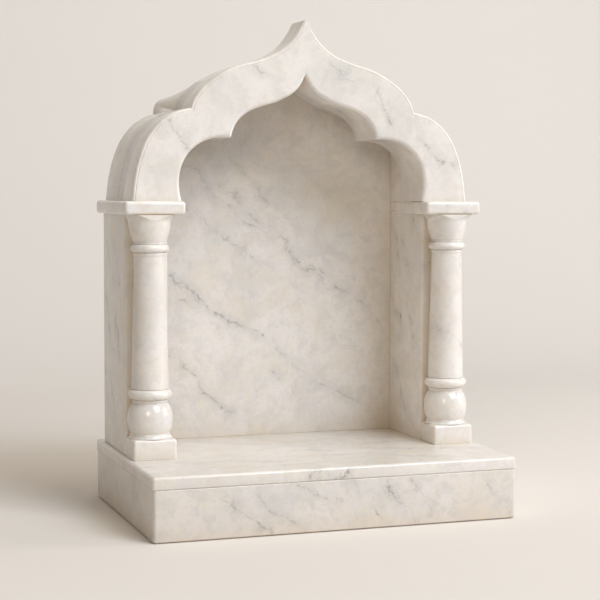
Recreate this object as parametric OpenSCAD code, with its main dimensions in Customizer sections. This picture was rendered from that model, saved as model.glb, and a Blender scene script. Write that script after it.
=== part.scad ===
// Small marble home temple: boxed plinth, two half-engaged columns, niche and cusped arch.
// Millimetres, +Z up, front towards -Y, origin at the middle of the underside.

/* [Base] */
// width of the base, side to side
base_w = 450; // [380:1:540]
// depth of the base, front to back
base_d = 292; // [270:1:350]
// height of the boxed body under the slab
body_h = 60; // [50:1:72]
// thickness of the top slab
slab_t = 15; // [12:0.5:18]
// thickness of the mitred boards
board_t = 18; // [15:1:22]
// rounding of the base corners and slab edge
soft_r = 4; // [3:0.5:5]

/* [Walls] */
// width of each pier, plinth and side wall alike
pier_w = 53; // [45:1:62]
// how far the pier stands in from the end of the base
pier_inset = 5.5; // [4:0.5:12]
// front face of the column plinths
pier_front = -35; // [-45:1:-30]
// front face of the side walls, behind the plinths
wall_front = 8; // [2:1:14]
// rear face of the walls
wall_back = 124.5; // [115:0.5:132]
// thickness of the back panel
back_t = 12.5; // [10:0.5:16]
// height of the walls and columns
wall_h = 289; // [240:1:340]

/* [Columns] */
// height of the square plinth block
plinth_h = 24; // [20:1:30]
// largest radius of the bulb above the plinth
bulb_r = 27.3; // [24:0.1:29]
// radius of the shaft at its foot
shaft_r0 = 22.4; // [19:0.1:24]
// radius of the shaft at its head
shaft_r1 = 19; // [16:0.1:21]
// outer radius of the lower ring
ring_r0 = 26.5; // [24:0.1:28]
// outer radius of the upper ring
ring_r1 = 23.2; // [21:0.1:25]
// half width of the square capital
cap_half = 26; // [24:0.5:28]

/* [Abacus] */
// thickness of the abacus slabs
abacus_t = 16.2; // [13:0.1:20]
// overhang past the outer face of the wall
abacus_out = 9; // [6:0.5:14]
// overhang into the opening
abacus_in = 12; // [6:0.5:16]
// front edge of the abacus
abacus_front = -33; // [-42:1:-28]
// rear end of the part that reaches into the opening
abacus_lug = 23; // [15:1:30]

/* [Arch and hood] */
// front face of the arch slab
arch_front = -16; // [-24:1:-8]
// rear face of the arch slab
arch_back = 57; // [44:1:66]
// thickness of the thinned crown
crown_t = 44; // [34:1:52]
// height over the springing where the rear starts to slope in
slope_low = 143; // [125:1:150]
// height over the springing where the thin crown starts
slope_high = 165; // [158:1:190]
// rise of the arch from its foot to the tip
arch_rise = 219; // [190:1:250]
// thickness of the hood roof at its crown
roof_t = 11; // [9:0.5:16]
// width of the saddle behind the crown
saddle_w = 100; // [60:1:120]

/* [Hidden] */
$fn = 64;
eps_cut = 600;
half = base_w / 2;
base_h = body_h + slab_t;
xo = half - pier_inset;
xi = xo - pier_w;
col_x = (xo + xi) / 2;
col_y = pier_front + pier_w / 2;
wall_top = base_h + wall_h;
spring = wall_top + abacus_t;
// column levels, measured up from the slab
k = wall_h / 289;
z_plinth = base_h + plinth_h;
z_bulb = base_h + 69.7 * k;
z_ring = base_h + 82.3 * k;
z_shaft = base_h + 240.8 * k;
z_fillet = base_h + 244.3 * k;
z_upper = base_h + 254.4 * k;
z_neck = base_h + 257.4 * k;
// arch outlines are drawn for a foot at 216.2 out and a rise of 219, then stretched
fx = (xo - 3.3) / 216.2;
fz = arch_rise / 219;
ix = (xi - abacus_in) / 154.5;
crown_back = arch_front + crown_t;
seat_t = 0.93;

function bez(p, t) = pow(1 - t, 3) * p[0] + 3 * pow(1 - t, 2) * t * p[1]
    + 3 * (1 - t) * t * t * p[2] + t * t * t * p[3];
function run(p, n, t0 = 0, t1 = 1) = [for (i = [0 : n]) bez(p, t0 + (t1 - t0) * i / n)];
function scaled(p, a, b) = [for (q = p) [q[0] * a, spring + q[1] * b]];
// the other half, back down from the middle without repeating the middle point
function mirrored(p) = [for (i = [len(p) - 2 : -1 : 0]) [-p[i][0], p[i][1]]];
function bulge(r, z0, z1, out, n = 10) = let (m = (z0 + z1) / 2, h = (z1 - z0) / 2)
    [for (i = [0 : n]) let (a = -90 + 180 * i / n) [r + out * cos(a), m + h * sin(a)]];

// half outlines as curve controls, from the springing upwards
outer_low = [[216.2, 0], [212.1, 50.5], [198.7, 103.1], [144.3, 110.4]];
outer_mid = [[144.3, 110.4], [140.5, 132.4], [109.2, 158.2], [70, 166.6]];
outer_top = [[70, 166.6], [38.2, 174.8], [19.7, 183.9], [3, 217]];
inner_low = [[154.5, 0], [167.5, 44.4], [140.4, 80.9], [93.3, 76]];
inner_mid = [[93.3, 76], [87, 110.5], [56.9, 112.3], [36, 119.5]];
inner_top = [[36, 119.5], [18.3, 128.3], [8.3, 131], [0, 151]];

low_side = scaled(run(outer_low, 14), fx, fz);
arch_out = concat(low_side, scaled(run(outer_mid, 12, 1 / 12), fx, fz),
    scaled(run(outer_top, 12, 1 / 12), fx, fz), [[0, spring + 219.2 * fz]]);
arch_in = concat(scaled(run(inner_low, 14), ix, fz), scaled(run(inner_mid, 10, 0.1), ix, fz),
    scaled(run(inner_top, 10, 0.1), ix, fz));

// hood outlines behind the arch
seat = [bez(outer_low, seat_t)[0] * fx, spring + bez(outer_low, seat_t)[1] * fz];
shelf = seat[0] - 20;
roof_z = spring + 155 * fz;
saddle_low = 145;
saddle_high = 149;
saddle_z = spring + (saddle_high + 2.5) * fz;
hood_side = concat(scaled(run(outer_low, 13, 0, seat_t), fx, fz),
    run([[shelf, seat[1]], [shelf + 17, seat[1] - 15], [xi, seat[1] - 35], [xi, seat[1] - 60]], 8),
    [[xi, spring]]);
roof_out = concat(run([seat, [seat[0], seat[1] + 14], [seat[0] - 6, seat[1] + 19],
    [seat[0] - 19, seat[1] + 21.5]], 6),
    [for (i = [1 : 8]) let (u = i / 8, x = (seat[0] - 19) * (1 - u))
        [x, roof_z - (roof_z - seat[1] - 21.5) * pow(1 - u, 2)]]);
// where the roof leaves the arch: round its outline, then level behind the crown
roof_front = concat(scaled(run(outer_low, 2, seat_t, 1), fx, fz), scaled(run(outer_mid, 5, 0.1, 0.5), fx, fz),
    [for (i = [1 : 6]) let (u = i / 6, p = bez(outer_mid, 0.5))
        [p[0] * fx * (1 - u), saddle_z - (saddle_z - spring - p[1] * fz) * pow(1 - u, 2)]]);
roof_in = [for (i = [0 : 9]) let (u = i / 9, x = shelf * (1 - u))
    [x, roof_z - roof_t - (roof_z - roof_t - seat[1]) * pow(1 - u, 2)]];
niche_out = concat([[xi, base_h], [xi, seat[1] - 60]],
    run([[xi, seat[1] - 60], [xi, seat[1] - 35], [shelf + 17, seat[1] - 15], [shelf, seat[1]]], 7, 0.125),
    [for (i = [1 : 9]) roof_in[i]]);

module round_rect(x0, x1, y0, y1, r) {
    translate([x0 + r, y0]) square([x1 - x0 - 2 * r, y1 - y0]);
    translate([x0, y0 + r]) square([x1 - x0, y1 - y0 - 2 * r]);
    for (x = [x0 + r, x1 - r], y = [y0 + r, y1 - r]) translate([x, y]) circle(r);
}

// block with upright corners and upper edges rounded
module soft_block(x0, x1, y0, y1, z0, z1, r) {
    translate([0, 0, z0]) linear_extrude(z1 - r - z0) round_rect(x0, x1, y0, y1, r);
    translate([x0 + r, y0 + r, z1 - r]) cube([x1 - x0 - 2 * r, y1 - y0 - 2 * r, r]);
    for (y = [y0 + r, y1 - r]) translate([x0 + r, y, z1 - r]) rotate([0, 90, 0])
        cylinder(h = x1 - x0 - 2 * r, r = r);
    for (x = [x0 + r, x1 - r]) translate([x, y0 + r, z1 - r]) rotate([-90, 0, 0])
        cylinder(h = y1 - y0 - 2 * r, r = r);
    for (x = [x0 + r, x1 - r], y = [y0 + r, y1 - r]) translate([x, y, z1 - r]) sphere(r);
}

// keep what stands in front of the side walls
module before_wall() {
    intersection() {
        children();
        translate([-eps_cut, wall_front - eps_cut, 0]) cube([2 * eps_cut, eps_cut, 2 * eps_cut]);
    }
}

module upright(y0, y1, pts) {
    translate([0, y1, 0]) rotate([90, 0, 0]) linear_extrude(y1 - y0) polygon(pts);
}

module board(sector) {
    b = board_t;
    linear_extrude(body_h) intersection() {
        difference() {
            round_rect(-half, half, -base_d / 2, base_d / 2, soft_r);
            translate([-half + b, -base_d / 2 + b]) square([base_w - 2 * b, base_d - 2 * b]);
        }
        polygon(sector);
    }
}
d2 = base_d / 2;
m = d2 - 1;
front_sector = [[-half, -d2], [half, -d2], [half - m, -d2 + m], [-half + m, -d2 + m]];
right_sector = [[half, -d2], [half, d2], [half - m, d2 - m], [half - m, -d2 + m]];

module base_front() { color("gainsboro") board(front_sector); }
module base_rear() { color("gainsboro") mirror([0, 1, 0]) board(front_sector); }
module base_right() { color("gainsboro") board(right_sector); }
module base_left() { color("gainsboro") mirror([1, 0, 0]) board(right_sector); }

module base_slab() {
    color("whitesmoke") soft_block(-half, half, -d2, d2, body_h, base_h, soft_r);
}

module wall() {
    color("gainsboro") translate([0, 0, base_h]) linear_extrude(wall_h)
        round_rect(xi, xo, wall_front, wall_back, 1.5);
}
module wall_left() { mirror([1, 0, 0]) wall(); }
module wall_right() { wall(); }

module back_panel() {
    color("silver") upright(wall_back - back_t, wall_back - 0.5, concat(niche_out, mirrored(niche_out)));
}

module plinth() {
    color("whitesmoke") before_wall()
        soft_block(xi, xo, pier_front, wall_front + 8, base_h, z_plinth, 3);
}
module turned(pts) {
    before_wall() translate([col_x, col_y, 0]) rotate_extrude() polygon(pts);
}
module bulb() {
    color("whitesmoke") turned(concat([[0, z_plinth], [26.4, z_plinth]],
        run([[26.4, z_plinth + 0.8], [24.4, z_plinth + 1.6], [23.5, z_plinth + 3.6],
            [23.4, z_plinth + 6]], 5),
        run([[23.4, z_plinth + 6], [bulb_r + 1.4, z_plinth + 13], [bulb_r + 1.8, z_bulb - 15],
            [21.6, z_bulb - 4.8]], 12, 1 / 12),
        [[20.9, z_bulb - 4.6], [20.9, z_bulb - 2.4], [21.9, z_bulb - 2.4], [21.9, z_bulb], [0, z_bulb]]));
}
module lower_ring() {
    color("whitesmoke") turned(concat([[0, z_bulb]], bulge(ring_r0 - 6.3, z_bulb, z_ring, 6.3),
        [[0, z_ring]]));
}
module shaft() {
    color("whitesmoke") turned([[0, z_ring], [shaft_r0, z_ring], [shaft_r1, z_shaft],
        [shaft_r1 + 0.8, z_shaft], [shaft_r1 + 0.8, z_fillet], [0, z_fillet]]);
}
module upper_ring() {
    color("whitesmoke") turned(concat([[0, z_fillet]], bulge(ring_r1 - 5, z_fillet, z_upper, 5),
        [[ring_r1 - 3.6, z_upper], [ring_r1 - 3.6, z_neck], [0, z_neck]]));
}
module capital() {
    h = wall_top - z_neck;
    color("whitesmoke") intersection() {
        turned(concat([[0, z_neck]],
            run([[20, z_neck], [22.3, z_neck + 6.5], [24.6, z_neck + 12], [25.4, z_neck + h * 0.72]], 7),
            run([[25.4, z_neck + h * 0.72], [26, z_neck + h * 0.84], [28.2, z_neck + h * 0.93],
                [33, wall_top]], 6, 1 / 6),
            [[0, wall_top]]));
        translate([col_x - cap_half, col_y - cap_half, z_neck]) cube([2 * cap_half, 2 * cap_half, h]);
    }
}
module plinth_left() { mirror([1, 0, 0]) plinth(); }
module plinth_right() { plinth(); }
module bulb_left() { mirror([1, 0, 0]) bulb(); }
module bulb_right() { bulb(); }
module lower_ring_left() { mirror([1, 0, 0]) lower_ring(); }
module lower_ring_right() { lower_ring(); }
module shaft_left() { mirror([1, 0, 0]) shaft(); }
module shaft_right() { shaft(); }
module upper_ring_left() { mirror([1, 0, 0]) upper_ring(); }
module upper_ring_right() { upper_ring(); }
module capital_left() { mirror([1, 0, 0]) capital(); }
module capital_right() { capital(); }

module abacus() {
    color("white") {
        soft_block(xi - abacus_in, xo + abacus_out, abacus_front, abacus_lug, wall_top, spring, 3);
        soft_block(xi, xo + abacus_out, abacus_front, wall_back, wall_top, spring, 3);
        // square arrises where the slab is flush with the wall inside the niche
        translate([xi, abacus_lug - 4, wall_top]) cube([pier_w / 2, wall_back - abacus_lug, abacus_t]);
    }
}
module abacus_left() { mirror([1, 0, 0]) abacus(); }
module abacus_right() { abacus(); }

module arch() {
    color("white") difference() {
        upright(arch_front, arch_back, concat(arch_out, mirrored(arch_out), arch_left_in(), arch_in_down()));
        // behind the crown the slab slopes in to its thinner top
        translate([-half, 0, 0]) rotate([90, 0, 90]) linear_extrude(base_w) polygon([
            [arch_back, spring + slope_low * fz], [crown_back, spring + slope_high * fz],
            [crown_back, spring + arch_rise + 10], [arch_back + 10, spring + arch_rise + 10],
            [arch_back + 10, spring + slope_low * fz]]);
    }
}
function arch_left_in() = [for (i = [0 : len(arch_in) - 1]) [-arch_in[i][0], arch_in[i][1]]];
function arch_in_down() = [for (i = [len(arch_in) - 2 : -1 : 0]) arch_in[i]];

module hood_shoulder() { color("gainsboro") upright(arch_back, wall_back, hood_side); }
module hood_left() { mirror([1, 0, 0]) hood_shoulder(); }
module hood_right() { hood_shoulder(); }
// whole outline of the roof, from half an upper line and the shared underside
function roof_loop(top) = concat(top, mirrored(top),
    [for (i = [0 : len(roof_in) - 1]) [-roof_in[i][0], roof_in[i][1]]],
    [for (i = [len(roof_in) - 2 : -1 : 0]) roof_in[i]]);
// solid between two upright outlines with as many points
module between(front, rear, y0, y1) {
    n = len(front);
    polyhedron(
        concat([for (p = front) [p[0], y0, p[1]]], [for (p = rear) [p[0], y1, p[1]]]),
        concat([[for (i = [n - 1 : -1 : 0]) i], [for (i = [0 : n - 1]) n + i]],
            [for (i = [0 : n - 1]) let (j = (i + 1) % n) [i, j, n + i]],
            [for (i = [0 : n - 1]) let (j = (i + 1) % n) [j, n + j, n + i]]));
}
function slope_y(z) = arch_back - (arch_back - crown_back) * (z - slope_low) / (slope_high - slope_low);
module hood_roof() {
    color("gainsboro") between(roof_loop(roof_front), roof_loop(roof_out), arch_back, wall_back);
}
// wedge that closes the valley behind the crown of the arch
module hood_saddle() {
    color("gainsboro") translate([-saddle_w / 2, 0, 0]) rotate([90, 0, 90]) linear_extrude(saddle_w) polygon([
        [arch_back, spring + saddle_low * fz], [arch_back, spring + saddle_high * fz],
        [slope_y(saddle_high), spring + saddle_high * fz], [slope_y(saddle_low), spring + saddle_low * fz]]);
}

base_front();
base_rear();
base_left();
base_right();
base_slab();
wall_left();
wall_right();
back_panel();
plinth_left();
plinth_right();
bulb_left();
bulb_right();
lower_ring_left();
lower_ring_right();
shaft_left();
shaft_right();
upper_ring_left();
upper_ring_right();
capital_left();
capital_right();
abacus_left();
abacus_right();
arch();
hood_left();
hood_right();
hood_roof();
hood_saddle();
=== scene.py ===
import math

import bmesh
import bpy
import numpy as np
from mathutils import Matrix, Vector


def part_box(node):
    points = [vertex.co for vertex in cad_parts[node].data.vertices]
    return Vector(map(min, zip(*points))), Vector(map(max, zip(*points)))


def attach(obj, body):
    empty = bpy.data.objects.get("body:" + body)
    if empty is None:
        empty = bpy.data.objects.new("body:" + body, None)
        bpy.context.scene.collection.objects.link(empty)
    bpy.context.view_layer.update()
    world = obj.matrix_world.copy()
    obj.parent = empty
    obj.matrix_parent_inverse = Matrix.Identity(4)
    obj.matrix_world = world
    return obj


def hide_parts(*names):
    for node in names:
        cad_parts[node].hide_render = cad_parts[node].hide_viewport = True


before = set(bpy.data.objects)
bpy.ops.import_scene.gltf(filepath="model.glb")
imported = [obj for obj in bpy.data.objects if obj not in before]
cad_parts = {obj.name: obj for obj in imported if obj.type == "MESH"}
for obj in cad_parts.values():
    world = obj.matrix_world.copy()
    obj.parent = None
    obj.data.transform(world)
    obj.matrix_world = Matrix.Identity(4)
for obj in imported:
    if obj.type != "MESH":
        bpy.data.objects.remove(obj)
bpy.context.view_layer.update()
mm = 0.001
print("frame loaded,", len(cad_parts), "nodes")


def bezier(p, t):
    # a point on the curve with the four handles p
    a, b, c, d = (np.array(q, float) for q in p)
    return (1 - t) ** 3 * a + 3 * (1 - t) ** 2 * t * b + 3 * (1 - t) * t * t * c + t ** 3 * d


def along(p, n, t0=0.0, t1=1.0):
    return [bezier(p, t0 + (t1 - t0) * i / n) for i in range(n + 1)]


def corner(node, top=False):
    # a node's lowest or highest corner, in mm
    low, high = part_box(node)
    return (high if top else low) / mm


def toMesh(name, verts, faces, sharp):
    mesh = bpy.data.meshes.new(name)
    mesh.from_pydata([Vector(v) * mm for v in verts], [], faces)
    tidyMesh(mesh, sharp)
    piece = bpy.data.objects.new(name, mesh)
    bpy.context.scene.collection.objects.link(piece)
    return piece


def tidyMesh(mesh, sharp, weld=1e-6):
    bm = bmesh.new()
    bm.from_mesh(mesh)
    bmesh.ops.remove_doubles(bm, verts=bm.verts, dist=weld)
    bmesh.ops.dissolve_degenerate(bm, edges=bm.edges, dist=weld)
    bmesh.ops.recalc_face_normals(bm, faces=bm.faces)
    bm.to_mesh(mesh)
    bm.free()
    mesh.shade_smooth()
    mesh.set_sharp_from_angle(angle=math.radians(sharp))


def skin(name, loops, sharp=32):
    # a skin over loops of equally many points, closed at both ends
    count = len(loops[0])
    verts = [tuple(p) for loop in loops for p in loop]
    faces = []
    for k in range(len(loops) - 1):
        a, b = k * count, (k + 1) * count
        for i in range(count):
            j = (i + 1) % count
            faces.append((a + i, a + j, b + j, b + i))
    faces.append(tuple(range(count))[::-1])
    faces.append(tuple(range(len(verts) - count, len(verts))))
    return toMesh(name, verts, faces, sharp)


def dress(piece, finish, nodes):
    piece.data.materials.clear()
    piece.data.materials.append(finish)
    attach(piece, "root")
    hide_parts(*nodes)


stone = {
    "white": (0.835, 0.79, 0.745), "grey": (0.60, 0.585, 0.56), "tan": (0.77, 0.685, 0.55),
    # the last colour on the next line and the four occlusion settings after it paint warm shade into
    # closed-in places
    "vein": (0.25, 0.235, 0.225), "rust": (0.50, 0.41, 0.32), "paintedShade": (0.72, 0.58, 0.42),
    "paintedShadeReach": 0.055, "paintedShadeDepth": 0.55, "paintedShadeFrom": 0.80, "paintedShadeTo": 0.25,
    "polish": 0.17, "hardness": 1.56, "glow": 0.18, "glowReach": 0.006, "glowTint": (1.0, 0.62, 0.38),
    "shinePatches": (26, 3, 0.6, 0.3, 0.7), "shineLess": 0.03, "shineMore": 0.06,
    "waves": (30, 2, 0.5), "waveStrength": 0.03, "waveDepth": 0.004,
    # swaying of the beds, as (how many a metre, how far in metres)
    "sway": ((12, 0.055), (45, 0.018), (170, 0.0065)), "swayDetail": 2, "swayRough": 0.5,
    # noises, as (how many a metre, detail, roughness, where they fade in from, where they are full)
    "greyClouds": ((12, 6, 0.62, 0.42, 0.74), (44, 6, 0.75, 0.46, 0.62)),
    "greySpecks": (160, 4, 0.7, 0.50, 0.68), "greyShares": (0.46, 0.32, 0.20),
    "tanClouds": (17, 5, 0.65, 0.47, 0.70), "tanSpecks": (85, 4, 0.75, 0.50, 0.64),
    "tanShares": (0.42, 0.27), "rustShare": 0.14,
    "knots": (42, 3, 0.6, 0.43, 0.58), "breaks": (90, 4, 0.7, 0.42, 0.60),
    "strandPatches": (13, 3, 0.6, 0.46, 0.60),
    "flecks": (120, 4, 0.55), "fleckRim": 0.030, "fleckRimShare": 0.55,
    "smudge": (0.54, 0.68), "smudgeShare": 0.75,
    # a strand or vein is a line, what lies near it, and a halo: how far each reaches, and its share
    "strandsPerMetre": 7.5, "strandReach": (0.035, 0.13, 0.45), "strandShares": (0.55, 0.8, 0.6),
    "veinReach": (1.0, 4.5, 14.0), "veinFade": 0.6,
    "lineShare": 0.75, "haloShare": 0.55, "fleckShare": 0.95, "looseShare": 0.4,
}


class Sheet:
    # one node tree, with short calls to add and join its nodes
    def __init__(self, tree):
        self.tree = tree
        self.place = 0

    def add(self, kind, sockets=None, **settings):
        n = self.tree.nodes.new(kind)
        self.place += 1
        n.location = (180 * (self.place % 12), -220 * (self.place // 12))
        for key, value in settings.items():
            setattr(n, key, value)
        for key, value in (sockets or {}).items():
            if isinstance(value, bpy.types.NodeSocket):
                self.tree.links.new(value, n.inputs[key])
            else:
                n.inputs[key].default_value = value
        return n

    def math(self, how, a, b=None):
        sockets = {i: v for i, v in enumerate((a, b)) if v is not None}
        return self.add("ShaderNodeMath", sockets, operation=how).outputs[0]

    def product(self, *values):
        result = values[0]
        for v in values[1:]:
            result = self.math("MULTIPLY", result, v)
        return result

    def vector(self, how, a, b=None, out=0, scale=None):
        sockets = {i: v for i, v in enumerate((a, b)) if v is not None}
        if scale is not None:
            sockets["Scale"] = scale
        return self.add("ShaderNodeVectorMath", sockets, operation=how).outputs[out]

    def noise(self, where, scale, detail, rough, out="Fac"):
        return self.add("ShaderNodeTexNoise", {"Vector": where, "Scale": scale, "Detail": detail,
                                               "Roughness": rough}).outputs[out]

    def fade(self, value, low, high, a=0.0, b=1.0):
        return self.add("ShaderNodeMapRange", {"Value": value, "From Min": low, "From Max": high,
                                               "To Min": a, "To Max": b},
                        interpolation_type="SMOOTHSTEP").outputs["Result"]

    def clouds(self, where, kind, a=0.0, b=1.0):
        scale, detail, rough, low, high = kind
        return self.fade(self.noise(where, scale, detail, rough), low, high, a, b)

    def blend(self, amount, a, b):
        n = self.add("ShaderNodeMix", data_type="RGBA")
        for key, value in ((0, amount), (6, a), (7, b)):
            if isinstance(value, bpy.types.NodeSocket):
                self.tree.links.new(value, n.inputs[key])
            else:
                n.inputs[key].default_value = value if key == 0 else (*value, 1)
        return n.outputs[2]


def newGroup(name, inputs, outputs):
    tree = bpy.data.node_groups.new(name, "ShaderNodeTree")
    for where, names in (("INPUT", inputs), ("OUTPUT", outputs)):
        for socket, kind in names:
            tree.interface.new_socket(socket, in_out=where, socket_type="NodeSocket" + kind)
    s = Sheet(tree)
    return tree, s, s.add("NodeGroupInput").outputs


def bedGroup():
    # the block bent as its beds were, with what every cut of it needs
    tree, s, given = newGroup("bent beds", [("Point", "Vector"), ("Cut", "Vector")],
                              [("Bent point", "Vector"), ("Bent cut", "Vector"), ("Flecks", "Float"),
                               ("Knots", "Float"), ("Breaks", "Float")])
    sway = None
    for scale, reach in stone["sway"]:
        part = s.noise(given["Cut"], scale, stone["swayDetail"], stone["swayRough"], "Color")
        part = s.vector("SCALE", s.vector("SUBTRACT", part, (0.5, 0.5, 0.5)), scale=reach)
        sway = part if sway is None else s.vector("ADD", sway, part)
    bentPoint = s.vector("ADD", given["Point"], sway)
    bentCut = s.vector("ADD", given["Cut"], sway)
    # flecks are smudges and the thin lines round them
    grain = s.noise(bentCut, *stone["flecks"])
    ringed = s.fade(s.math("ABSOLUTE", s.math("SUBTRACT", grain, 0.5)), stone["fleckRim"], 0.0)
    smudge = s.fade(grain, *stone["smudge"], 0.0, stone["smudgeShare"])
    flecks = s.math("MAXIMUM", s.math("MULTIPLY", ringed, stone["fleckRimShare"]), smudge)
    s.add("NodeGroupOutput", {
        "Bent point": bentPoint, "Bent cut": bentCut, "Flecks": flecks,
        "Knots": s.clouds(given["Cut"], stone["knots"]),
        "Breaks": s.clouds(given["Cut"], stone["breaks"])})
    return tree


def veinGroup():
    # a vein lies in one plane through its middle, and the bent beds give it its wander
    tree, s, given = newGroup("vein in a plane", [
        ("Point", "Vector"), ("Middle", "Vector"), ("Across", "Vector"), ("Run", "Vector"),
        ("Half length", "Float"), ("Width", "Float")],
        [("Line", "Float"), ("Near", "Float"), ("Halo", "Float")])
    shift = s.vector("SUBTRACT", given["Point"], given["Middle"])
    away = s.math("ABSOLUTE", s.vector("DOT_PRODUCT", shift, given["Across"], out=1))
    down = s.math("ABSOLUTE", s.vector("DOT_PRODUCT", shift, given["Run"], out=1))
    ends = s.fade(s.math("DIVIDE", down, given["Half length"]), 1.0, stone["veinFade"])
    widths = s.math("DIVIDE", away, given["Width"])
    line, near, halo = stone["veinReach"]
    s.add("NodeGroupOutput", {"Line": s.math("MULTIPLY", s.fade(widths, line, 0.0), ends),
                              "Near": s.math("MULTIPLY", s.fade(widths, near, 0.5), ends),
                              "Halo": s.math("MULTIPLY", s.fade(widths, halo, 0.0), ends)})
    return tree


bedTree, veinTree = bedGroup(), veinGroup()


def veinAxes(slope, face):
    # the way across a vein and the way along it, leaning a little into the block
    c, d = math.cos(math.radians(slope)), math.sin(math.radians(slope))
    if face == "side":
        return (0, d, -c), (0, -c, -d)
    if face == "top":
        return (-d, c, 0.1), (c, d, 0)
    return (d, 0.12, c), (c, 0, -d)


def marble(name, turn=(0, 0, 0), shift=(0, 0, 0), lean=(0.55, 0.2, 0.8), veins=(), face="front",
           strands=0.5, tanShare=1.0, greyShare=1.0, body=stone["white"], polish=stone["polish"]):
    mat = bpy.data.materials.new(name)
    mat.use_nodes = True
    tree = mat.node_tree
    tree.nodes.clear()
    s = Sheet(tree)
    at = s.add("ShaderNodeTexCoord").outputs["Object"]
    cut = s.add("ShaderNodeMapping", {"Vector": at, "Location": shift,
                                      "Rotation": tuple(math.radians(a) for a in turn)}).outputs[0]
    beds = s.add("ShaderNodeGroup", node_tree=bedTree)
    tree.links.new(at, beds.inputs["Point"])
    tree.links.new(cut, beds.inputs["Cut"])
    bent, bentCut, flecks, knots, breaks = beds.outputs

    # drifting clouds of grey and patches of tan, from broad to fine
    colour = body
    greyBy = [s.clouds(bentCut, kind) for kind in stone["greyClouds"]]
    greyBy.append(s.clouds(cut, stone["greySpecks"]))
    tanBy = [s.clouds(bentCut, stone["tanClouds"]), s.clouds(cut, stone["tanSpecks"])]
    for amount, share in zip(greyBy, stone["greyShares"]):
        colour = s.blend(s.math("MULTIPLY", amount, share * greyShare), colour, stone["grey"])
    for amount, share in zip(tanBy, stone["tanShares"]):
        colour = s.blend(s.math("MULTIPLY", amount, share * tanShare), colour, stone["tan"])

    # thin strands that lie with the beds and fade in and out
    bed = s.vector("DOT_PRODUCT", bent, Vector(lean).normalized(), out=1)
    turns = s.math("MULTIPLY", bed, stone["strandsPerMetre"] * math.pi)
    crest = s.math("ABSOLUTE", s.math("SINE", turns))
    patchy = s.clouds(cut, stone["strandPatches"])
    (line, near, halo), shares = stone["strandReach"], [strands * v for v in stone["strandShares"]]
    lineBy = s.product(s.fade(crest, line, 0.0), patchy, breaks, shares[0])
    nearBy = s.product(s.fade(crest, near, 0.01), patchy, shares[1])
    haloBy = s.product(s.fade(crest, halo, 0.0), patchy, shares[2])

    for middle, slope, half, width, depth in veins:
        across, run = veinAxes(slope, face)
        given = {"Middle": [v * mm for v in middle], "Across": across, "Run": run,
                 "Half length": half * mm, "Width": width * mm}
        vein = s.add("ShaderNodeGroup", node_tree=veinTree)
        tree.links.new(bent, vein.inputs["Point"])
        for key, value in given.items():
            vein.inputs[key].default_value = value
        own = s.product(vein.outputs["Line"], breaks, stone["lineShare"] * depth)
        lineBy = s.math("MAXIMUM", lineBy, own)
        nearBy = s.math("MAXIMUM", nearBy, s.product(vein.outputs["Near"], depth))
        haloBy = s.math("MAXIMUM", haloBy, s.product(vein.outputs["Halo"], depth))

    # knots, where a vein gathers into dark flecks, and rusty specks in the tan
    gather = s.math("ADD", s.math("MULTIPLY", knots, 1 - stone["looseShare"]), stone["looseShare"])
    colour = s.blend(s.product(haloBy, gather, stone["haloShare"]), colour, stone["grey"])
    rustBy = s.product(flecks, knots, tanBy[0], stone["rustShare"] * tanShare)
    colour = s.blend(rustBy, colour, stone["rust"])
    colour = s.blend(s.math("MULTIPLY", lineBy, gather), colour, stone["vein"])
    colour = s.blend(s.product(flecks, knots, nearBy, stone["fleckShare"]), colour, stone["vein"])

    # painted shade: a warm tone is blended in where ambient occlusion finds the surface closed in,
    # standing in for warm bounced light in crevices and inside the niche
    shadeOcclusion = s.add("ShaderNodeAmbientOcclusion", {"Distance": stone["paintedShadeReach"]}, samples=4)
    paintedShadeBy = s.fade(shadeOcclusion.outputs["AO"], stone["paintedShadeFrom"], stone["paintedShadeTo"], 0.0, stone["paintedShadeDepth"])
    colour = s.blend(paintedShadeBy, colour, stone["paintedShade"])

    shine = s.clouds(cut, stone["shinePatches"], polish - stone["shineLess"],
                     polish + stone["shineMore"])
    wave = s.add("ShaderNodeBump", {
        "Height": s.noise(cut, *stone["waves"]), "Strength": stone["waveStrength"],
        "Distance": stone["waveDepth"]}).outputs[0]
    surface = s.add("ShaderNodeBsdfPrincipled", {
        "Base Color": colour, "Roughness": shine, "Normal": wave, "IOR": stone["hardness"],
        "Subsurface Weight": stone["glow"], "Subsurface Scale": stone["glowReach"],
        "Subsurface Radius": stone["glowTint"]})
    s.add("ShaderNodeOutputMaterial", {"Surface": surface.outputs[0]})
    return mat


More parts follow.
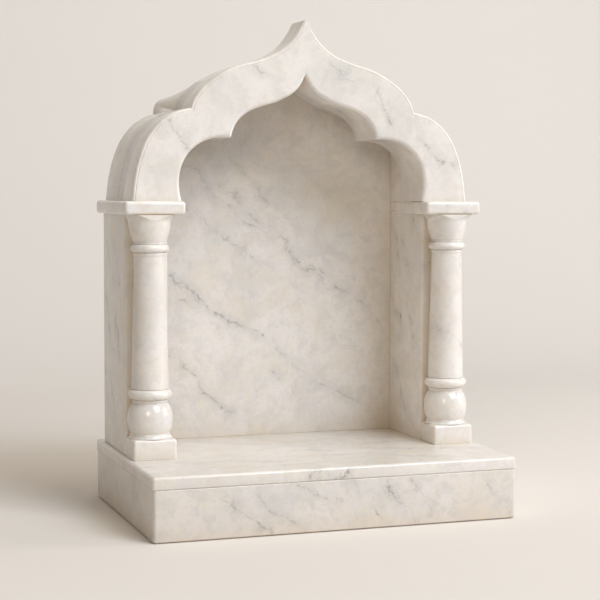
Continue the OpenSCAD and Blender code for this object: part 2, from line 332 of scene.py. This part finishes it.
# one block of stone for each part. turn and shift are how it was cut, lean is the way across its beds,
# face is the side its veins slant over, and a vein is (middle in mm, degrees of slope, half length,
# width, depth of colour)
cuts = {
    "back panel": {
        "lean": (0.62, 0.1, 0.78), "strands": 0.75, "greyShare": 1.2,
        "veins": (((10, 118, 330), 44, 120, 1.3, 0.9), ((85, 118, 270), 38, 70, 1.4, 0.8),
                  ((-85, 118, 245), 37, 75, 1.4, 0.9), ((40, 118, 165), 33, 110, 1.3, 0.8),
                  ((-95, 118, 140), 38, 95, 1.3, 0.8), ((-60, 118, 330), 30, 90, 1.0, 0.6),
                  ((-20, 118, 400), 52, 60, 1.0, 0.5))},
    "base body": {
        "turn": (0, 25, 10), "shift": (0.31, 0.12, 0.07), "lean": (0.8, 0.3, 0.45), "strands": 0.9,
        "greyShare": 1.7, "body": (0.785, 0.735, 0.69),
        "veins": (((-120, -146, 30), 38, 50, 2.0, 0.9), ((-80, -146, 35), 46, 45, 1.6, 0.8),
                  ((70, -146, 32), 62, 50, 2.2, 1.0), ((95, -146, 40), 58, 40, 1.4, 0.7),
                  ((-30, -146, 50), 25, 40, 1.0, 0.5), ((190, -146, 35), 50, 45, 1.4, 0.6))},
    "top slab": {
        "turn": (8, 15, 60), "shift": (0.9, 0.4, 0.2), "lean": (0.3, 0.95, 0.1), "strands": 1.2,
        "greyShare": 0.9, "polish": 0.10, "face": "top",
        "veins": (((-110, -70, 75), -14, 70, 1.2, 0.6), ((20, -60, 75), -8, 80, 1.2, 0.55),
                  ((-60, -115, 75), 6, 55, 1.0, 0.5), ((110, -95, 75), -18, 60, 1.3, 0.6),
                  ((90, 10, 75), -10, 70, 1.0, 0.5))},
    "side wall": {
        "turn": (10, 40, 95), "shift": (0.2, 0.7, 1.3), "lean": (0.1, 0.83, -0.5), "strands": 1.2,
        "tanShare": 1.2, "greyShare": 0.9, "face": "side",
        "veins": (((0, 100, 335), 62, 45, 1.2, 0.8), ((0, 55, 305), 56, 45, 1.3, 0.9),
                  ((0, 95, 235), 60, 55, 1.3, 0.85), ((0, 45, 215), 66, 40, 1.2, 0.8),
                  ((0, 80, 135), 58, 50, 1.2, 0.8))},
    "column": {
        "turn": (30, 10, 40), "shift": (1.7, 0.1, 0.6), "strands": 0.9, "tanShare": 0.8,
        "greyShare": 0.9, "body": (0.855, 0.812, 0.77)},
    "arch": {
        "turn": (0, -12, 30), "shift": (0.5, 1.4, 0.9), "strands": 0.8, "tanShare": 0.45,
        "greyShare": 0.9, "body": (0.865, 0.825, 0.785),
        "veins": (((75, -16, 515), 34, 60, 1.5, 0.8), ((105, -16, 490), 44, 30, 1.5, 0.8),
                  ((175, -16, 440), 50, 40, 1.2, 0.6), ((-165, -16, 455), 40, 30, 1.2, 0.6))},
    "hood": {"turn": (5, 30, 80), "shift": (1.1, 0.3, 0.4), "strands": 0.7},
}
panelMarble, baseMarble, slabMarble, wallMarble, columnMarble, archMarble, hoodMarble = (
    marble(name + " marble", **cut) for name, cut in cuts.items())
print("marbles mixed")


def rounded(corners, ease, steps=6):
    # a plan with its corners turned to quarter rounds, anticlockwise
    loop = []
    count = len(corners)
    for i, c in enumerate(corners):
        c = np.array(c, float)
        back, on = np.array(corners[i - 1], float) - c, np.array(corners[(i + 1) % count], float) - c
        back, on = back / np.linalg.norm(back), on / np.linalg.norm(on)
        centre = c + (back + on) * ease
        for k in range(steps + 1):
            a = math.pi / 2 * k / steps
            loop.append(centre - ease * (math.cos(a) * on + math.sin(a) * back))
    return loop


def inwards(loop, sharpest=1.7):
    # how each point moves when the outline shrinks by one
    shifts = []
    for i, p in enumerate(loop):
        before, after = p - loop[i - 1], loop[(i + 1) % len(loop)] - p
        a = np.array([-before[1], before[0]]) / max(np.linalg.norm(before), 1e-9)
        b = np.array([-after[1], after[0]]) / max(np.linalg.norm(after), 1e-9)
        m = (a + b) / max(1 + a @ b, 0.2)
        shifts.append(m / max(np.linalg.norm(m) / sharpest, 1))
    return shifts


def roll(at, way, r, steps=5):
    # quarter round from a flat end face to the side, as (place, inset)
    turns = [math.pi / 2 * k / steps for k in range(steps + 1)]
    return [(at + way * r * (1 - math.sin(a)), r * (1 - math.cos(a))) for a in turns][::-1]


def block(name, corners, z0, z1, ease, top, foot, flush=(), hair=0.08, sharp=40):
    loop = rounded(corners, ease)
    shifts = inwards(loop)
    # along a flush side the edges stay square but for a hair
    for i, (x, y) in enumerate(loop):
        if any(abs(x - q[0]) < 1e-6 and abs(y - q[1]) < ease + 0.1 for q in flush):
            shifts[i] = shifts[i] * hair
    rims = roll(z0, 1, foot) + roll(z1, -1, top)[::-1]
    return skin(name, [[(*(p + inset * q), z) for p, q in zip(loop, shifts)] for z, inset in rims],
                sharp=sharp)


def plan(node):
    a, b = corner(node), corner(node, True)
    return [(a[0], a[1]), (b[0], a[1]), (b[0], b[1]), (a[0], b[1])], a[2], b[2]


base = {
    "boardThick": 18, "cornerRound": 4, "cornerSteps": 8, "boardArris": 1.0,
    # the foot of the boards, as (height, inset)
    "boardFoot": ((0, 3.4), (1.1, 3.0), (1.3, 0.7), (1.9, 0.15), (2.6, 0)),
    "slabTop": 3.6, "slabFoot": 1.8,
}


def makeBoards():
    low, high = corner("base_front"), corner("base_front", True)
    x, y, z = high[0], -low[1], high[2]
    loop = rounded([(-x, -y), (x, -y), (x, y), (-x, y)], base["cornerRound"], base["cornerSteps"])
    shifts = inwards(loop)
    each = len(loop) // 4
    inner = [(-1, -1), (1, -1), (1, 1), (-1, 1)]
    rims = list(base["boardFoot"]) + roll(z, -1, base["boardArris"])[::-1]
    for side, node in enumerate(("base_front", "base_right", "base_rear", "base_left")):
        picks = [(side * each + each // 2 + i) % len(loop) for i in range(each + 1)]
        ends = [inner[(side + 1) % 4], inner[side]]
        rings = []
        for level, inset in rims:
            ring = [(*(loop[i] + inset * shifts[i]), level) for i in picks]
            ring += [(sx * (x - base["boardThick"]), sy * (y - base["boardThick"]), level)
                     for sx, sy in ends]
            rings.append(ring)
        dress(skin(node.replace("base_", "board_"), rings, sharp=40), baseMarble, [node])


makeBoards()
corners, z0, z1 = plan("base_slab")
slabTop = block("top_slab", corners, z0, z1, base["cornerRound"], base["slabTop"], base["slabFoot"])
dress(slabTop, slabMarble, ["base_slab"])
print("base made")

shell = {"wallArris": 3.2, "wallEnd": 0.6, "plinthEase": 3.4, "plinthTop": 3.4, "plinthFoot": 0.5}

for side in ("left", "right"):
    corners, z0, z1 = plan("wall_" + side)
    dress(block("side_wall_" + side, corners, z0, z1, shell["wallArris"], shell["wallEnd"],
               shell["wallEnd"]),
          wallMarble, ["wall_" + side])
    corners, z0, z1 = plan("plinth_" + side)
    dress(block("plinth_block_" + side, corners, z0, z1, shell["plinthEase"], shell["plinthTop"],
                shell["plinthFoot"]),
          columnMarble, ["plinth_" + side])
print("walls and plinths made")


def turningTree():
    # sweeps the profile round an upright axis and gives it its marble
    tree = bpy.data.node_groups.new("turning on an axis", "GeometryNodeTree")
    face = tree.interface
    face.new_socket("Geometry", in_out="INPUT", socket_type="NodeSocketGeometry")
    named = {}
    for name, kind in (("Facets", "NodeSocketInt"), ("Core", "NodeSocketFloat"),
                       ("Axis foot", "NodeSocketVector"), ("Finish", "NodeSocketMaterial")):
        named[name] = face.new_socket(name, in_out="INPUT", socket_type=kind).identifier
    face.new_socket("Geometry", in_out="OUTPUT", socket_type="NodeSocketGeometry")
    s = Sheet(tree)
    given = s.add("NodeGroupInput").outputs
    profile = s.add("GeometryNodeMeshToCurve", {"Mesh": given["Geometry"]}).outputs[0]
    ring = s.add("GeometryNodeCurvePrimitiveCircle", {
        "Resolution": given["Facets"], "Radius": given["Core"]}, mode="RADIUS").outputs[0]
    swept = s.add("GeometryNodeCurveToMesh", {"Curve": ring, "Profile Curve": profile}).outputs[0]
    core = s.math("MULTIPLY", given["Core"], 3.0)
    closed = s.add("GeometryNodeMergeByDistance", {"Geometry": swept, "Distance": core}).outputs[0]
    placed = s.add("GeometryNodeTransform", {"Geometry": closed,
                                             "Translation": given["Axis foot"]}).outputs[0]
    real = s.add("GeometryNodeRealizeInstances", {"Geometry": placed}).outputs[0]
    finished = s.add("GeometryNodeSetMaterial", {"Geometry": real,
                                                 "Material": given["Finish"]}).outputs[0]
    s.add("NodeGroupOutput", {"Geometry": finished})
    return tree, named


lathe, latheInputs = turningTree()

turning = {
    "facets": 96, "core": 0.02, "ease": 0.5, "easeFrom": 0.45, "sharp": 34,
    # curves as (radius, height above the piece's foot), or (radius, depth under its top)
    "footRadius": 26.4, "footCurve": ((26.4, 0.8), (24.4, 1.6), (23.5, 3.6), (23.4, 6)),
    "bulbStart": (23.4, 6), "bulbLow": (1.4, 13), "bulbHigh": (1.8, 15), "bulbEnd": (21.6, 4.8),
    "groove": 20.9, "grooveFrom": 4.6, "grooveTo": 2.4, "bead": 21.9,
    "ringDepth": 6.3, "upperDepth": 5.0, "upperNeck": 3.0, "upperNeckIn": 3.6,
    "shaftFoot": 22.4, "shaftHead": 19.0, "shaftRounds": 12, "astragal": 3.5, "astragalOut": 0.8,
}


def easedLine(points, r, steps=3):
    # rounds each firm corner of a profile
    out = [np.array(points[0], float)]
    for a, b, c in zip(points, points[1:], points[2:]):
        a, b, c = (np.array(q, float) for q in (a, b, c))
        u, v = a - b, c - b
        lu, lv = np.linalg.norm(u), np.linalg.norm(v)
        turn = math.acos(np.clip(-(u @ v) / (lu * lv), -1, 1))
        if turn < turning["easeFrom"]:
            out.append(b)
            continue
        cut = min(r * math.tan(turn / 2), lu * 0.45, lv * 0.45)
        start, end = b + u / lu * cut, b + v / lv * cut
        for k in range(steps + 1):
            t = k / steps
            out.append((1 - t) ** 2 * start + 2 * t * (1 - t) * b + t * t * end)
    return out + [np.array(points[-1], float)]


def applied(piece, modifier):
    # the piece's mesh as the modifier leaves it, with the modifier gone
    graph = bpy.context.evaluated_depsgraph_get()
    plain = bpy.data.meshes.new_from_object(piece.evaluated_get(graph))
    piece.modifiers.remove(modifier)
    piece.data = plain
    return plain


def turned(name, node, profile, side):
    mesh = bpy.data.meshes.new(name + "_profile")
    line = [(max(r - turning["core"], 0), z) for r, z in easedLine(profile, turning["ease"])]
    # the sweep turns the profile's own Y downwards
    mesh.from_pydata([(r * mm, -z * mm, 0) for r, z in line],
                     [(i, i + 1) for i in range(len(line) - 1)], [])
    shape = bpy.data.objects.new(name, mesh)
    bpy.context.scene.collection.objects.link(shape)
    axisX, axisY = columnAxis[side]
    spin = shape.modifiers.new("turning", "NODES")
    spin.node_group = lathe
    for key, value in (("Facets", turning["facets"]), ("Core", turning["core"] * mm),
                       ("Axis foot", (axisX * mm, axisY * mm, 0.0)), ("Finish", columnMarble)):
        spin[latheInputs[key]] = value
    plain = applied(shape, spin)
    trimBack(plain)
    tidyMesh(plain, turning["sharp"])
    dress(shape, columnMarble, [node])


wallFace = corner("wall_left")[1]


def trimBack(mesh):
    # the columns stand half into the wall line: what would enter the wall is cut off flat
    bm = bmesh.new()
    bm.from_mesh(mesh)
    everything = bm.verts[:] + bm.edges[:] + bm.faces[:]
    bmesh.ops.bisect_plane(bm, geom=everything, plane_co=(0, wallFace * mm, 0), plane_no=(0, 1, 0),
                           clear_outer=True)
    rim = [e for e in bm.edges if e.is_boundary]
    if len(rim) > 2:
        bmesh.ops.contextual_create(bm, geom=rim)
    bm.to_mesh(mesh)
    bm.free()


def bulge(r, z0, z1, out, n=14):
    # a ring's half round, standing out from the radius r
    m, h = (z0 + z1) / 2, (z1 - z0) / 2
    return [(r + out * math.cos(a), m + h * math.sin(a))
            for a in (math.pi * (i / n - 0.5) for i in range(n + 1))]


columnAxis = {}
for side in ("left", "right"):
    low, high = corner("plinth_" + side), corner("plinth_" + side, True)
    columnAxis[side] = ((low[0] + high[0]) / 2, low[1] + (high[0] - low[0]) / 2)


def reach(node):
    return (corner(node, True)[0] - corner(node)[0]) / 2


def bulbProfile(node):
    z0, z1, r = corner(node)[2], corner(node, True)[2], reach(node)
    t = turning
    foot = along([[a, z0 + b] for a, b in t["footCurve"]], 8)
    (a, b), (c, d), (e, f), (g, h) = (t[k] for k in ("bulbStart", "bulbLow", "bulbHigh", "bulbEnd"))
    body = along([[a, z0 + b], [r + c, z0 + d], [r + e, z1 - f], [g, z1 - h]], 28)[1:]
    grooveTop = z1 - t["grooveTo"]
    neck = [(t["groove"], z1 - t["grooveFrom"]), (t["groove"], grooveTop), (t["bead"], grooveTop),
            (t["bead"], z1), (0, z1)]
    return [(0, z0), (t["footRadius"], z0)] + foot + body + neck


def lowerRingProfile(node):
    z0, z1, r, out = corner(node)[2], corner(node, True)[2], reach(node), turning["ringDepth"]
    return [(0, z0)] + bulge(r - out, z0, z1, out) + [(0, z1)]


def shaftProfile(node):
    z0, z2 = corner(node)[2], corner(node, True)[2]
    t = turning
    z1 = z2 - t["astragal"]
    sides = [(t["shaftFoot"] + (t["shaftHead"] - t["shaftFoot"]) * u, z0 + (z1 - z0) * u)
             for u in (i / t["shaftRounds"] for i in range(t["shaftRounds"] + 1))]
    head = t["shaftHead"] + t["astragalOut"]
    return [(0, z0)] + sides + [(head, z1), (head, z2), (0, z2)]


def upperRingProfile(node):
    z0, z2, r, out = corner(node)[2], corner(node, True)[2], reach(node), turning["upperDepth"]
    z1, neck = z2 - turning["upperNeck"], r - turning["upperNeckIn"]
    return [(0, z0)] + bulge(r - out, z0, z1, out) + [(neck, z1), (neck, z2), (0, z2)]


capital = {
    # the bell as (radius, height above its foot) and then (radius, share of its height)
    "lowBell": ((20, 0), (22.3, 6.5), (24.6, 12)), "shoulder": (25.4, 0.72),
    "highBell": ((26, 0.84), (28.2, 0.93), (33, 1)), "lowSteps": 24, "highSteps": 30,
    "facets": 176, "soft": 0.35,
}


def makeCapital(node, side):
    # a bell worked into a square block, so arcs rise to the four corners
    z0, z1, half = corner(node)[2], corner(node, True)[2], reach(node)
    c, h, soft = capital, z1 - z0, capital["soft"]
    shoulder = [c["shoulder"][0], z0 + h * c["shoulder"][1]]
    bell = along([[r, z0 + z] for r, z in c["lowBell"]] + [shoulder], c["lowSteps"])
    bell += along([shoulder] + [[r, z0 + h * u] for r, u in c["highBell"]], c["highSteps"])[1:]
    x, y = columnAxis[side]
    rings = []
    for r, z in bell:
        ring = []
        for i in range(c["facets"]):
            a = 2 * math.pi * i / c["facets"]
            flat = half / max(abs(math.cos(a)), abs(math.sin(a)))
            gap = max(soft - abs(r - flat), 0) / soft
            rr = min(r, flat) - gap * gap * soft / 4
            ring.append((x + rr * math.cos(a), y + rr * math.sin(a), z))
        rings.append(ring)
    piece = skin("bell_capital_" + side, rings, sharp=turning["sharp"])
    trimBack(piece.data)
    tidyMesh(piece.data, turning["sharp"])
    dress(piece, columnMarble, [node])


for side in ("left", "right"):
    for name, node, profile in (
            ("turned_bulb_", "bulb_", bulbProfile), ("collar_", "lower_ring_", lowerRingProfile),
            ("column_shaft_", "shaft_", shaftProfile), ("neck_ring_", "upper_ring_", upperRingProfile)):
        turned(name + side, node + side, profile(node + side), side)
    makeCapital("capital_" + side, side)
print("columns turned")

abacus = {"ease": 4.5, "edge": 4.0, "lugBack": 23.0}
pierInner = -corner("wall_left", True)[0]
for side in ("left", "right"):
    low, high = corner("abacus_" + side), corner("abacus_" + side, True)
    inner, outer = (high[0], low[0]) if side == "left" else (low[0], high[0])
    step = pierInner * (-1 if side == "left" else 1)
    y0, y1, y2 = low[1], abacus["lugBack"], high[1]
    shape = [(inner, y0), (outer, y0), (outer, y2), (step, y2), (step, y1), (inner, y1)]
    if side == "left":
        shape = shape[::-1]
    flush = [(step, y2), (step, y1)]
    dress(block("abacus_slab_" + side, shape, low[2], high[2], abacus["ease"], abacus["edge"],
                abacus["edge"], flush), archMarble, ["abacus_" + side])
print("abacus slabs made")

arch = {
    # half outlines from the springing upwards
    "outer": [[[216.2, 0], [212.1, 50.5], [198.7, 103.1], [144.3, 110.4]],
              [[144.3, 110.4], [140.5, 132.4], [109.2, 158.2], [70, 166.6]],
              [[70, 166.6], [38.2, 174.8], [19.7, 183.9], [3, 217]]],
    "inner": [[[154.5, 0], [167.5, 44.4], [140.4, 80.9], [93.3, 76]],
              [[93.3, 76], [87, 110.5], [56.9, 112.3], [36, 119.5]],
              [[36, 119.5], [18.3, 128.3], [8.3, 131], [0, 151]]],
    "steps": (40, 32, 32),
    # the blunt tip, its last point at the full rise
    "tip": ((2.6, 218.0), (1.5, 218.8)),
    # rims run from the front face back, a bead outside and a plain round inside,
    # as (outer depth, outer inset, inner depth, inner inset)
    "rims": ((0, 4.6, 0, 5.2), (0.75, 4.0, 0.1, 4.2), (0.4, 3.4, 0.4, 3.2), (0.25, 2.8, 0.9, 2.2),
             (0.45, 2.1, 1.6, 1.4), (1.1, 1.2, 2.4, 0.75), (2.1, 0.45, 3.3, 0.3),
             (3.4, 0.08, 4.2, 0.06), (4.4, 0, 5.0, 0)),
    # the rear edge, as (distance from the rear face, inset)
    "rearRims": ((1.2, 0), (0.35, 0.35), (0, 1.2)),
    # the outer bead thins towards the tip, from this half width
    "beadFades": 14, "beadLeast": 0.25,
    # the crown's sloping back, over the springing of an arch that rises this much
    "slopeLow": 143, "slopeHigh": 165, "slopeRise": 219.2, "crownThick": 44, "sharp": 30,
}
spring = corner("arch")[2]
archFront, archBack = corner("arch")[1], corner("arch", True)[1]
rise = corner("arch", True)[2] - spring


def halfLine(curves, steps):
    points = []
    for c, n in zip(curves, steps):
        points += along(c, n)[(1 if points else 0):]
    return points


def archLoop():
    outer = halfLine(arch["outer"], arch["steps"])
    outer += [np.array(q, float) for q in arch["tip"]]
    inner = halfLine(arch["inner"], arch["steps"])
    flip = np.array([-1, 1])
    loop = outer + [np.array([0, rise])] + [p * flip for p in outer[::-1]]
    kinds = ["outer"] * len(loop)
    inside = [p * flip for p in inner] + inner[-2::-1]
    loop += inside
    kinds += ["inner"] * len(inside)
    return [p + np.array([0, spring]) for p in loop], kinds


def makeArch():
    loop, kinds = archLoop()
    shifts = inwards(loop, 1.6)
    # the feet stay on the springing line
    shifts = [np.array([math.copysign(1, s[0]), 0]) if abs(p[1] - spring) < 0.01 else s
              for p, s in zip(loop, shifts)]
    depth = archBack - archFront
    rims = list(arch["rims"]) + [(depth - a, b, depth - a, b) for a, b in arch["rearRims"]]
    rings = []
    for outerDepth, outerInset, innerDepth, innerInset in rims:
        ring = []
        for p, s, kind in zip(loop, shifts, kinds):
            if kind == "outer":
                q = p + s * outerInset * min(1.0, abs(p[0]) / arch["beadFades"] + arch["beadLeast"])
                ring.append((q[0], archFront + outerDepth, q[1]))
            else:
                q = p + s * innerInset
                ring.append((q[0], archFront + innerDepth, q[1]))
        rings.append(ring)
    piece = skin("cusped_arch", rings, sharp=arch["sharp"])
    # the crown is thinner: its back slopes in, cut by a wedge that clears the arch all round
    a, b = (spring + arch[key] * rise / arch["slopeRise"] for key in ("slopeLow", "slopeHigh"))
    thin, past, over, wide = archFront + arch["crownThick"], archBack + 30, b + 90, 260
    side = [(archBack, a), (thin, b), (thin, over), (past, over), (past, a)]
    cutter = skin("cutter", [[(x, y, z) for y, z in side] for x in (-wide, wide)])
    cut = piece.modifiers.new("crown", "BOOLEAN")
    cut.operation, cut.solver, cut.object = "DIFFERENCE", "EXACT", cutter
    cutter.data.materials.append(archMarble)
    piece.data.materials.append(archMarble)
    plain = applied(piece, cut)
    bpy.data.objects.remove(cutter)
    tidyMesh(plain, arch["sharp"])
    dress(piece, archMarble, ["arch"])


makeArch()
print("arch carved")

hood = {
    "seatAt": 0.93, "shelf": 20, "roofRise": 155, "saddleRise": 151.5, "roofThick": 11,
    "arris": 1.2, "frontArris": 0.3, "rows": 8, "sharp": 38, "leavesAt": 0.5,
    # the roof's rear shoulder, as steps out from where the roof sits
    "shoulder": ((0, 0), (0, 14), (-6, 19), (-19, 21.5)),
    # the inner corner: how far below the shelf it starts and bends, and its last bend off the shelf
    "cornerFoot": 60, "cornerBend": 35, "cornerHead": (17, -15),
}
panel = {"frontArris": 0.4, "arris": 0.8}
up = np.array([0, spring])
seat = bezier(arch["outer"][0], hood["seatAt"]) + up
shelf = np.array([seat[0] - hood["shelf"], seat[1]])
hoodBack = corner("hood_roof", True)[1]


def upright(name, outline, y0, y1, front, back):
    # outline in x and z, anticlockwise as seen from the front, pulled back along y
    shifts = inwards(outline)
    rims = roll(y0, 1, front) + roll(y1, -1, back)[::-1]
    return skin(name, [[(q[0], y, q[1]) for q in (p + inset * s for p, s in zip(outline, shifts))]
                       for y, inset in rims], sharp=hood["sharp"])


def bothSides(half):
    return half + [p * np.array([-1, 1]) for p in half[-2::-1]]


def spandrel(n=14):
    # inner corner between the pier line and the roof's underside
    x, z = pierInner, seat[1]
    return along([[x, z - hood["cornerFoot"]], [x, z - hood["cornerBend"]],
                  shelf + np.array(hood["cornerHead"]), shelf], n)


def crownLine(start, top, n):
    # from the shoulder up to the middle, level at the top
    return [np.array([start[0] * (1 - u), top - (top - start[1]) * (1 - u) ** 2])
            for u in ((i + 1) / n for i in range(n))]


def makeHood():
    side = [p + up for p in along(arch["outer"][0], 36, 0, hood["seatAt"])]
    side += spandrel()[::-1] + [np.array([pierInner, spring])]
    for name, flip in (("right", 1), ("left", -1)):
        outline = [p * np.array([flip, 1]) for p in side][::flip]
        piece = upright("hood_shoulder_" + name, outline, archBack, hoodBack, hood["frontArris"],
                        hood["arris"])
        dress(piece, hoodMarble, ["hood_" + name])

    # the roof leaves the arch along its outline and turns into one plain vault
    lowEnd = [p + up for p in along(arch["outer"][0], 8, hood["seatAt"], 1)]
    rising = [p + up for p in along(arch["outer"][1], 20, 0, hood["leavesAt"])][1:]
    front = bothSides(lowEnd + rising + crownLine(rising[-1], spring + hood["saddleRise"], 20))
    shoulder = along([seat + np.array(q) for q in hood["shoulder"]], 24)
    rear = bothSides(shoulder + crownLine(shoulder[-1], spring + hood["roofRise"], 24))
    underside = spring + hood["roofRise"] - hood["roofThick"]
    under = bothSides([shelf] + crownLine(shelf, underside, 24))[::-1]
    front, rear = front + under, rear + under
    rearShift = inwards(rear)
    loops = []
    for k in range(hood["rows"] + 1):
        t = k / hood["rows"]
        y = archBack + (hoodBack - hood["arris"] - archBack) * t
        loops.append([(q[0], y, q[1]) for q in ((1 - t) * a + t * b for a, b in zip(front, rear))])
    for y, inset in roll(hoodBack, -1, hood["arris"])[::-1][1:]:
        loops.append([(q[0], y, q[1]) for q in (p + inset * s for p, s in zip(rear, rearShift))])
    dress(skin("hood_vault", loops, sharp=hood["sharp"]), hoodMarble, ["hood_roof"])

    low, high = corner("hood_saddle"), corner("hood_saddle", True)
    lean = (archBack - archFront - arch["crownThick"]) / (arch["slopeHigh"] - arch["slopeLow"])
    wedge = [(high[1], low[2]), (high[1], high[2]), (low[1], high[2]),
             (low[1] + lean * (high[2] - low[2]), low[2])]
    piece = skin("crown_saddle", [[(x, y, z) for y, z in wedge] for x in (low[0], high[0])])
    dress(piece, hoodMarble, ["hood_saddle"])


def makePanel():
    low, high = corner("back_panel"), corner("back_panel", True)
    half = [np.array([pierInner, low[2]])] + spandrel()
    half += crownLine(shelf, spring + hood["roofRise"] - hood["roofThick"], 24)
    piece = upright("back_slab", bothSides(half), low[1], high[1], panel["frontArris"], panel["arris"])
    dress(piece, panelMarble, ["back_panel"])


makeHood()
makePanel()
print("hood and back made")

studio = {
    "floor": (0.795, 0.75, 0.703), "returned": 0.84, "floorRough": 0.9, "floorShine": 0.1,
    "sweepStart": 1.1, "sweepRadius": 1.3, "sweepSteps": 24, "halfWidth": 9.0, "frontEdge": -8.0,
    "backTop": 7.0,
    # each lamp: place, side of its softbox, watts, colour
    "key": ((3.25, -5.5, 5.6), 4.5, 500, (0.825, 0.892, 1.0)),
    "top": ((0.3, -0.6, 3.3), 1.8, 28, (1.0, 0.93, 0.74)),
    "side": ((3.0, -0.9, 1.1), 1.2, 38, (1.0, 0.97, 0.93)),
    "front": ((-1.5, -2.9, 1.4), 1.0, 19, (1.0, 0.93, 0.80)),
    "world": (1.0, 0.82, 0.66), "worldLevel": 0.12,
    # the camera turns about the upright, then up, then about its own line of sight
    "lens": 94.574, "sensor": 36.0, "cameraAt": (-0.64802, -1.82881, 0.39616),
    "cameraTurn": (-19.494, 85.939, 0.231),
}


def paperFinish(name, colour, returned):
    # seen pale, but sends a little less light back on to the marble
    mat = bpy.data.materials.new(name)
    mat.use_nodes = True
    s = Sheet(mat.node_tree)
    rays = s.add("ShaderNodeLightPath").outputs
    mirrored = s.math("MAXIMUM", rays["Is Glossy Ray"], rays["Is Transmission Ray"])
    seen = s.math("MAXIMUM", rays["Is Camera Ray"], mirrored)
    shown = s.blend(seen, tuple(c * returned for c in colour), colour)
    surface = mat.node_tree.nodes["Principled BSDF"]
    mat.node_tree.links.new(shown, surface.inputs["Base Color"])
    surface.inputs["Roughness"].default_value = studio["floorRough"]
    surface.inputs["Specular IOR Level"].default_value = studio["floorShine"]
    return mat


def makeFloor():
    start, r, n = studio["sweepStart"], studio["sweepRadius"], studio["sweepSteps"]
    turns = [math.pi / 2 * k / n for k in range(n + 1)]
    line = [(studio["frontEdge"], 0.0)]
    line += [(start + r * math.sin(a), r * (1 - math.cos(a))) for a in turns]
    line.append((start + r, studio["backTop"]))
    verts = [(x, y, z) for y, z in line for x in (-studio["halfWidth"], studio["halfWidth"])]
    faces = [(2 * i, 2 * i + 1, 2 * i + 3, 2 * i + 2) for i in range(len(line) - 1)]
    mesh = bpy.data.meshes.new("floor sweep")
    mesh.from_pydata(verts, [], faces)
    mesh.shade_smooth()
    floor = bpy.data.objects.new("floor sweep", mesh)
    bpy.context.scene.collection.objects.link(floor)
    mesh.materials.append(paperFinish("paper sweep", studio["floor"], studio["returned"]))


def softbox(name, at, size, power, colour, aim=(0, 0, 0.25)):
    lamp = bpy.data.lights.new(name, "AREA")
    lamp.size, lamp.energy, lamp.color = size, power, colour
    o = bpy.data.objects.new(name, lamp)
    o.location = at
    o.rotation_euler = (Vector(aim) - Vector(at)).to_track_quat("-Z", "Y").to_euler()
    bpy.context.scene.collection.objects.link(o)


makeFloor()
for name in ("key", "top", "side", "front"):
    softbox(name + " softbox", *studio[name])

world = bpy.data.worlds.new("studio air")
world.use_nodes = True
air = world.node_tree.nodes["Background"]
air.inputs["Color"].default_value = (*studio["world"], 1)
air.inputs["Strength"].default_value = studio["worldLevel"]
bpy.context.scene.world = world

camera = bpy.data.cameras.new("camera")
camera.lens, camera.sensor_width = studio["lens"], studio["sensor"]
cameraBody = bpy.data.objects.new("camera", camera)
yaw, pitch, tilt = (math.radians(a) for a in studio["cameraTurn"])
cameraBody.matrix_world = (Matrix.Translation(studio["cameraAt"]) @ Matrix.Rotation(yaw, 4, "Z")
                           @ Matrix.Rotation(pitch, 4, "X") @ Matrix.Rotation(tilt, 4, "Z"))
bpy.context.scene.collection.objects.link(cameraBody)
bpy.context.scene.camera = cameraBody
bpy.context.scene.view_settings.view_transform = "Standard"
print("studio set")
